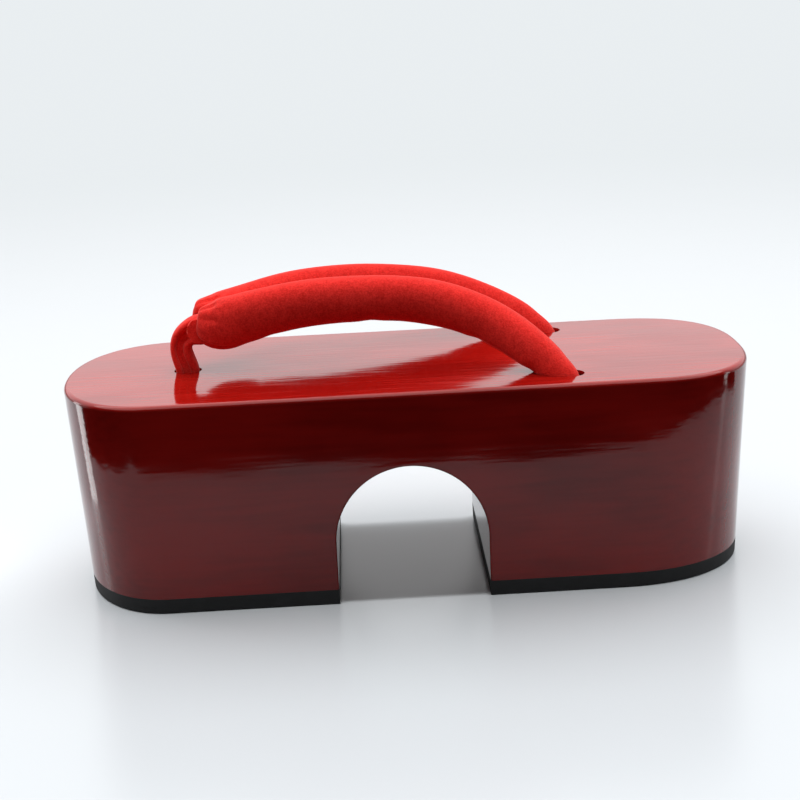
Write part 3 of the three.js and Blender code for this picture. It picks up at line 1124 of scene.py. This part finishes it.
@dataclass
class TiedEnd:
    """A cord that goes down a strap hole and is knotted in the recess below."""

    name: str
    hole: Hole
    material: bpy.types.Material
    slot: str
    top: float = 71.0
    cord_radius: float = 4.2
    knot_radius: float = 2.6
    knot_spread: float = 1.9
    knot_rise: float = 2.7
    knot_drop: float = 5.7
    stub_radius: float = 2.5
    stub_end: float = 14.6
    stub_flare: float = 0.25
    strands: int = 3
    cord_steps: int = 60
    cord_sides: int = 30
    knot_steps: int = 120
    knot_sides: int = 24
    stub_steps: int = 16

    def build(self, height: float) -> bpy.types.Object:
        """Builds the cord, its knot and its short cut end.

        Args:
            height: The deck's height.

        Returns:
            The tied end as one piece.
        """
        deck, roof, down = self.hole.points(height)
        start = deck + down * ((deck.z - self.top) / -down.z)
        knot_top = roof + down * self.knot_drop
        cord = np.linspace(np.array(start), np.array(knot_top), self.cord_steps + 1)
        shank = sweep(cord, np.full(len(cord), self.cord_radius), self.cord_sides, self.strands)
        turn = np.linspace(0, 2 * math.pi, self.knot_steps + 1)
        loops = np.stack([
            self.knot_spread * (np.sin(turn) + 2 * np.sin(2 * turn)),
            self.knot_spread * (np.cos(turn) - 2 * np.cos(2 * turn)),
            self.knot_rise * np.sin(3 * turn),
        ], axis=1)
        side = down.orthogonal().normalized()
        path = loops @ np.array([side, down.cross(side), down]) + np.array(knot_top)
        knot = sweep(path, np.full(len(path), self.knot_radius), self.knot_sides, self.strands)
        stub_tip = roof + down * self.stub_end
        foot = np.linspace(np.array(knot_top), np.array(stub_tip), self.stub_steps + 1)
        flare = 1 + self.stub_flare * np.linspace(0, 1, len(foot)) ** 3
        stub = sweep(foot, self.stub_radius * flare, self.knot_sides, self.strands)
        points, faces = loft(shank)
        for rings in (knot, stub):
            more, more_faces = loft(rings)
            faces += [tuple(i + len(points) for i in face) for face in more_faces]
            points = np.concatenate([points, more])
        tie = make_object(self.name, points, faces)
        shade(tie, CORD_EDGE)
        return finish_piece(tie, self.material, self.slot)


@dataclass
class ToeLoop:
    """The flattened cloth loop that rises out of the front hole and holds the straps."""

    form: BlockForm
    finish: NappedCloth = NappedCloth("loop_cloth_finish")
    steps: int = 180
    sides: int = 40
    power: float = 2.6
    fold_width: float = 3.6

    def tube(self) -> ClothTube:
        """The loop's path and sections."""
        rows = np.array([(x, 0.0, z, thick, wide, 0.0) for x, z, thick, wide in LOOP_TABLE])
        return ClothTube(rows, self.power, self.steps, self.sides)

    def halves(self, grow: float) -> list[bpy.types.Object]:
        """The loop in two halves, so that neither crosses itself.

        Args:
            grow: How far the section is grown.

        Returns:
            Both halves.
        """
        points = self.tube().rings(grow)
        middle = self.steps // 2
        parts = {"front": points[: middle + 1], "back": points[middle:]}
        return [make_object(f"loop_{name}", *loft(ring)) for name, ring in parts.items()]

    def fold(self) -> bpy.types.Object:
        """The cloth folded in between the limbs."""
        outline = np.array(LOOP_FOLD)
        rings = [
            np.column_stack([outline[:, 0], np.full(len(outline), y), outline[:, 1]])
            for y in (-self.fold_width / 2, self.fold_width / 2)
        ]
        return make_object("fold", *loft(np.array(rings)))

    def build(self) -> bpy.types.Object:
        """Builds the loop with its inner fold and tied end.

        Returns:
            The loop.
        """
        loop, back = self.halves(0.0)
        loop.name = "cloth_toe_loop"
        combine(loop, back, Join.ADD)
        combine(loop, self.fold(), Join.ADD)
        shade(loop, CLOTH_EDGE)
        material = self.finish.material()
        TiedEnd("toe_loop_tie", TOE_HOLE, material, "loop_cloth").build(self.form.height)
        return finish_piece(loop, material, "loop_cloth", "toe_loop")


@dataclass
class PaddedStraps:
    """The two padded straps that part from the toe loop to the rear holes."""

    form: BlockForm
    loop: ToeLoop
    finish: NappedCloth = NappedCloth("strap_cloth_finish")
    steps: int = 300
    sides: int = 96
    power: float = 2.2
    seam_depth: float = 0.5
    fullness: float = 0.06
    lead: float = 2.4
    lead_fade: float = 16.0
    gap: float = 0.3
    neck_x: float = -71.6
    neck_z: float = 89.85
    neck_radius: float = 2.5
    neck_half_length: float = 8.6
    flare_start: float = 4.0
    flare_length: float = 2.6
    flare_radius: float = 4.4
    flare_back: float = 0.6
    flare_rise: float = 1.0
    neck_steps: int = 48
    neck_sides: int = 72
    neck_pleats: int = 9

    def creases(self) -> list[Crease]:
        """Gathers at both ends, and a few soft bends on the way."""
        front = gathers(along=5.0, count=9, length=4.2, width=1.5, depth=0.55)
        rear = gathers(along=151.0, count=8, length=5.0, width=1.3, depth=0.40)
        return [*front, *rear, *(Crease(*row) for row in STRAP_CREASES)]

    def tube(self, side: Side) -> ClothTube:
        """A strap's path, sections and creases.

        Args:
            side: Which strap.

        Returns:
            The tube.
        """
        rows = []
        for x, near_spread, near_z, far_spread, far_z, tall, thick, lean in STRAP_TABLE:
            share = max(0.0, 1 - (x - STRAP_TABLE[0][0]) / self.lead_fade)
            ahead = self.lead * share if side is Side.FAR else 0.0
            spread, z = (far_spread, far_z) if side is Side.FAR else (near_spread, near_z)
            rows.append((x - ahead, side.value * spread, z, tall, thick, -side.value * lean))
        return ClothTube(
            np.array(rows), self.power, self.steps, self.sides, self.creases(), self.seam_depth,
            fullness=self.fullness,
        )

    def build_neck(self, material: bpy.types.Material) -> bpy.types.Object:
        """Builds the stitched roll that joins the straps inside the loop's eye.

        Args:
            material: The straps' finish.

        Returns:
            The neck.
        """
        reach = np.linspace(-self.neck_half_length, self.neck_half_length, self.neck_steps + 1)
        out = np.clip((np.abs(reach) - self.flare_start) / self.flare_length, 0, 1)
        radii = self.neck_radius + (self.flare_radius - self.neck_radius) * out * out * (3 - 2 * out)
        x = self.neck_x + self.flare_back * out
        axis = np.column_stack([x, reach, self.neck_z + self.flare_rise * out])
        rings = sweep(axis, radii, self.neck_sides, self.neck_pleats)
        neck = make_object("strap_neck", *loft(rings))
        shade(neck, CORD_EDGE)
        return finish_piece(neck, material, "strap_cloth")

    def build(self) -> list[bpy.types.Object]:
        """Builds both straps, their neck and their tied ends.

        Returns:
            The near strap and the far one.
        """
        material = self.finish.material()
        pieces = []
        for side in Side:
            name = side.name.lower()
            strap = make_object(f"padded_strap_{name}", *loft(self.tube(side).rings()))
            for half in self.loop.halves(self.gap):
                combine(strap, half, Join.CUT)
            shade(strap, CLOTH_EDGE)
            nodes = ["strap_upper"] if side is Side.NEAR else []
            finish_piece(strap, material, "strap_cloth", *nodes)
            pieces.append(strap)
            hole = REAR_HOLES[0 if side is Side.NEAR else 1]
            TiedEnd(f"strap_tie_{name}", hole, material, "strap_cloth").build(self.form.height)
        self.build_neck(material)
        return pieces


# Studio

CARD_OPENING: Table = [
    # x, y of the card's inner edge, from the toe side round the front to the heel side
    (-252, 48), (-222, -60), (-172, -138), (-110, -150), (-41, -154), (49, -146), (108, -157),
    (178, -130), (235, -80), (269, -20), (275, 48),
]

# Name, y and lowest z of the black flags that keep light out of the tunnel
TUNNEL_FLAGS: list[tuple[str, float, float]] = [("near_flag", -42.0, 3.5), ("far_flag", 42.0, 7.0)]


@dataclass(frozen=True)
class StripLight:
    """A narrow upright light beside a rounded end."""

    name: str
    place: tuple[float, float, float]
    width: float
    height: float
    radiance: float


STRIP_LIGHTS = (
    StripLight("toe_strip", (-194, 16, 52), 24, 104, 3.0),
    StripLight("heel_strip", (278, -28, 75), 22, 150, 3.0),
)


@dataclass
class Studio:
    """Floor, light and camera."""

    lens_px: float = 1656.3556
    frame_px: float = 800.0
    yaw: float = 0.0198
    pitch: float = 0.2624
    roll: float = -0.0491
    camera_at: tuple[float, float, float] = (-13.5243, -573.9854, 214.0496)
    clip_m: tuple[float, float] = (0.01, 30.0)
    overhead_strength: float = 3.9
    overhead_angle: float = 96.0
    overhead_color: tuple[float, float, float] = (1.0, 0.985, 0.97)
    sky_color: tuple[float, float, float] = (0.985, 0.99, 1.0)
    back_glow: float = 1.25
    front_glow: float = 0.02
    glow_sides: tuple[float, float] = (0.02, 0.45)
    glow_top: tuple[float, float] = (0.92, 0.60)
    glow_foot: tuple[float, float] = (0.03, 0.21)
    foot_share: float = 0.14
    floor_reach: float = 9000.0
    card_reach: float = 2500.0
    card_front: float = 160.0
    card_height: float = 0.6

    def build_camera(self) -> None:
        """Sets the camera at the viewing angle of the photograph."""
        sensor = 36.0
        forward = Vector((
            math.sin(self.yaw) * math.cos(self.pitch),
            math.cos(self.yaw) * math.cos(self.pitch),
            -math.sin(self.pitch),
        ))
        right = Vector((math.cos(self.yaw), -math.sin(self.yaw), 0.0))
        up = right.cross(forward)
        rolled_right = math.cos(self.roll) * right + math.sin(self.roll) * up
        rolled_up = math.cos(self.roll) * up - math.sin(self.roll) * right
        data = bpy.data.cameras.new("camera")
        data.sensor_width = sensor
        data.lens = self.lens_px * sensor / self.frame_px
        data.clip_start, data.clip_end = self.clip_m
        camera = bpy.data.objects.new("camera", data)
        turn = Matrix((rolled_right, rolled_up, -forward)).transposed().to_4x4()
        camera.matrix_world = Matrix.Translation(Vector(self.camera_at) * MM) @ turn
        bpy.context.scene.collection.objects.link(camera)
        bpy.context.scene.camera = camera

    def build_floor(self) -> None:
        """Lays a wide pale floor."""
        reach = self.floor_reach
        corners = [(-reach, -reach, 0), (reach, -reach, 0), (reach, reach, 0), (-reach, reach, 0)]
        self._lay("studio_floor", corners, [(0, 1, 2, 3)], StudioFloor().material())

    def build_card(self) -> None:
        """Lays black card round the front of the set, where only the lacquer mirrors it."""
        inner, rim = [], []
        for x, y in CARD_OPENING:
            rim_y = -self.card_reach if abs(x) < self.card_front else y
            inner.append((x, y, self.card_height))
            rim.append((math.copysign(self.card_reach, x), rim_y, self.card_height))
        count = len(inner)
        faces = [(i, i + count, i + count + 1, i + 1) for i in range(count - 1)]
        card = self._lay("black_card", inner + rim, faces, BlackCard().material())
        for face in card.data.polygons:
            if face.normal.z < 0:
                face.flip()
        card.visible_camera = False
        card.visible_shadow = False

    def build_flags(self, form: BlockForm) -> None:
        """Hangs unseen black flags in both mouths of the tunnel, which keep it dark inside.

        Args:
            form: The block's outer form.
        """
        start = form.arch_centre - form.arch_width / 2
        end = form.arch_centre + form.arch_width / 2
        top = form.arch_crown
        for name, y, low in TUNNEL_FLAGS:
            corners = [(start, y, low), (end, y, low), (end, y, top), (start, y, top)]
            card = BlackCard(name, both_sides=True).material()
            flag = self._lay(name, corners, [(0, 1, 2, 3)], card)
            flag.visible_camera = False
            flag.visible_glossy = False

    def _lay(
        self, name: str, points: list[tuple[float, float, float]], faces: list[tuple[int, ...]],
        material: bpy.types.Material,
    ) -> bpy.types.Object:
        """Makes one flat thing of the set.

        Args:
            name: Its name.
            points: Its points in millimetres.
            faces: Its faces.
            material: Its finish.

        Returns:
            The object.
        """
        mesh = bpy.data.meshes.new(name)
        mesh.from_pydata([tuple(MM * c for c in p) for p in points], [], faces)
        thing = bpy.data.objects.new(name, mesh)
        bpy.context.scene.collection.objects.link(thing)
        mesh.materials.append(material)
        return thing

    def build_lights(self) -> None:
        """Hangs one wide soft light overhead and two narrow ones beside the rounded ends."""
        overhead = bpy.data.lights.new("overhead", "SUN")
        overhead.energy = self.overhead_strength
        overhead.angle = math.radians(self.overhead_angle)
        overhead.color = self.overhead_color
        hung = bpy.data.objects.new("overhead", overhead)
        bpy.context.scene.collection.objects.link(hung)
        for light in STRIP_LIGHTS:
            data = bpy.data.lights.new(light.name, "AREA")
            data.shape = "RECTANGLE"
            data.size, data.size_y = light.width * MM, light.height * MM
            data.energy = light.radiance * math.pi * data.size * data.size_y
            strip = bpy.data.objects.new(light.name, data)
            towards = Vector((-light.place[0], -light.place[1], 0.0))
            strip.rotation_euler = towards.to_track_quat("-Z", "Y").to_euler()
            strip.location = Vector(light.place) * MM
            bpy.context.scene.collection.objects.link(strip)

    def build_world(self) -> None:
        """Surrounds the set with soft light from behind, and next to none from the front."""
        world = bpy.data.worlds.new("studio_world")
        world.use_nodes = True
        bpy.context.scene.world = world
        graph = Graph(world.node_tree)
        direction = graph.add("ShaderNodeTexCoord").outputs["Generated"]
        parts = graph.add("ShaderNodeSeparateXYZ", None, {0: direction})
        across, back, up = (Value(graph, parts.outputs[i]) for i in range(3))
        foot = self.foot_share + (1 - self.foot_share) * up.step(*self.glow_foot)
        wall = back.step(*self.glow_sides) * up.step(*self.glow_top) * foot
        light = self.front_glow + self.back_glow * wall
        sky = graph.add("ShaderNodeBackground", None, {0: self.sky_color, 1: light})
        seen_world = graph.add("ShaderNodeBackground", None, {0: StudioFloor().backdrop, 1: 1.0})
        seen = graph.add("ShaderNodeLightPath").outputs["Is Camera Ray"]
        sides = {0: seen, 1: sky.outputs[0], 2: seen_world.outputs[0]}
        both = graph.add("ShaderNodeMixShader", None, sides)
        graph.add("ShaderNodeOutputWorld", None, {"Surface": both.outputs[0]})

    def build(self, form: BlockForm) -> None:
        """Builds the whole studio.

        Args:
            form: The block's outer form.
        """
        self.build_camera()
        self.build_floor()
        self.build_card()
        self.build_flags(form)
        self.build_lights()
        self.build_world()
        view = bpy.context.scene.view_settings
        view.view_transform = "Standard"
        view.look = "None"


def main() -> None:
    """Builds the sandal and its studio in order."""
    logging.basicConfig(level=logging.INFO, format="%(message)s")
    form = BlockForm()
    Studio().build(form)
    WoodenBlock(form).build()
    SolePads(form).build()
    loop = ToeLoop(form)
    PaddedStraps(form, loop).build()
    loop.build()


if __name__ == "__main__":
    main()
